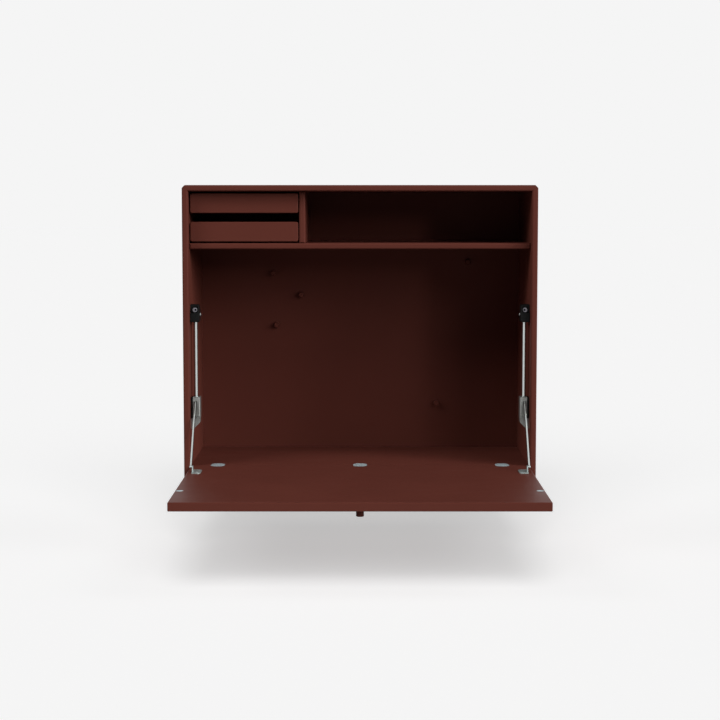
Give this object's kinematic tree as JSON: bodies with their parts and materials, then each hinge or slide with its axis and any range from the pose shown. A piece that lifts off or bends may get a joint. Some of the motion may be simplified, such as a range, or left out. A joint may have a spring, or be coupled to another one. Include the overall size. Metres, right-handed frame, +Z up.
{
  "type": "fold down wall desk",
  "caption": "Wall hung desk cabinet in brown red lacquer with a fold down flap on sliding stays, a pegged back, an open shelf and shallow trays.",
  "frame": {"origin": "on the wall, midway between the two screw holes of the wall rail", "axes": "+Z up, -Y out of the wall towards the user, +X to the right of a user who faces the desk"},
  "size_m": [0.696, 0.716, 0.5857],
  "materials": {
    "lacquer": "satin lacquer on fibreboard",
    "pan_paint": "fine textured powder coat",
    "beech": "planed",
    "chrome": "bright plated",
    "zinc": "die cast, satin",
    "satin_nickel": "satin nickel plate",
    "nickel_plate": "nickel plated",
    "magnet": "nickel plated magnet",
    "steel": "zinc plated",
    "galvanised": "galvanised sheet",
    "black_plastic": "moulded"
  },
  "bodies": {
    "case": {"back_panel": "lacquer", "bottom_panel": "lacquer", "centre_hinge_case_cup": "satin_nickel", "centre_hinge_pin": "steel", "desk_board": "lacquer", "divider": "lacquer", "divider_dowels": "beech", "hanging_bracket_screws": "steel", "left_catch_magnet": "magnet", "left_guide_rod": "chrome", "left_hanging_bracket": "galvanised", "left_hinge_case_cup": "satin_nickel", "left_hinge_pin": "steel", "left_side_panel": "lacquer", "left_stay_foot": "zinc", "left_stay_head": "black_plastic", "lower_tray_runners": "black_plastic", "pegs": "lacquer", "right_catch_magnet": "magnet", "right_guide_rod": "chrome", "right_hanging_bracket": "galvanised", "right_hinge_case_cup": "satin_nickel", "right_hinge_pin": "steel", "right_side_panel": "lacquer", "right_stay_foot": "zinc", "right_stay_head": "black_plastic", "shelf": "lacquer", "shelf_dowels": "beech", "stay_screws": "steel", "top_panel": "lacquer", "upper_tray_runners": "black_plastic", "wall_rail": "galvanised"},
    "flap": {"centre_hinge_flap_cup": "satin_nickel", "flap_bracket_screws": "steel", "flap_panel": "lacquer", "knob": "lacquer", "knob_stud": "steel", "left_arm_pin": "steel", "left_flap_bracket": "nickel_plate", "left_hinge_flap_cup": "satin_nickel", "left_strike_disc": "satin_nickel", "right_arm_pin": "steel", "right_flap_bracket": "nickel_plate", "right_hinge_flap_cup": "satin_nickel", "right_strike_disc": "satin_nickel"},
    "left_slider": {"left_slider": "zinc", "left_slider_glide": "black_plastic"},
    "right_slider": {"right_slider": "zinc", "right_slider_glide": "black_plastic"},
    "left_arm": {"left_slider_rivet": "steel", "left_stay_arm": "chrome"},
    "right_arm": {"right_slider_rivet": "steel", "right_stay_arm": "chrome"},
    "upper_tray": {"upper_tray_front": "lacquer", "upper_tray_pan": "pan_paint", "upper_tray_screws": "steel"},
    "lower_tray": {"lower_tray_front": "lacquer", "lower_tray_pan": "pan_paint", "lower_tray_screws": "steel"}
  },
  "joints": [
    {"name": "flap_hinge", "type": "hinge", "parent": "case", "child": "flap", "pos_m": [0, -0.2805, -0.5087], "axis": [-1, 0, 0], "range_deg": [0, 90]},
    {"name": "upper_tray_slide", "type": "slide", "parent": "case", "child": "upper_tray", "axis": [0, -1, 0], "range_m": [0, 0.19]},
    {"name": "lower_tray_slide", "type": "slide", "parent": "case", "child": "lower_tray", "axis": [0, -1, 0], "range_m": [0, 0.19]},
    {"name": "left_slider_slide", "type": "slide", "parent": "case", "child": "left_slider", "axis": [0, 0, 1], "range_m": [0, 0.1134]},
    {"name": "left_arm_hinge", "type": "hinge", "parent": "flap", "child": "left_arm", "pos_m": [-0.3273, -0.37, -0.497], "axis": [-1, 0, 0], "range_deg": [-131.1, 0]},
    {"name": "right_slider_slide", "type": "slide", "parent": "case", "child": "right_slider", "axis": [0, 0, 1], "range_m": [0, 0.1134]},
    {"name": "right_arm_hinge", "type": "hinge", "parent": "flap", "child": "right_arm", "pos_m": [0.3273, -0.37, -0.497], "axis": [-1, 0, 0], "range_deg": [-131.1, 0]}
  ],
  "couplings": [
    {"joint": "left_slider_slide", "follows": "flap_hinge", "m_per_rad": 0.07204},
    {"joint": "left_arm_hinge", "follows": "flap_hinge", "ratio": -1.4545},
    {"joint": "right_slider_slide", "follows": "flap_hinge", "m_per_rad": 0.07204},
    {"joint": "right_arm_hinge", "follows": "flap_hinge", "ratio": -1.4545}
  ]
}
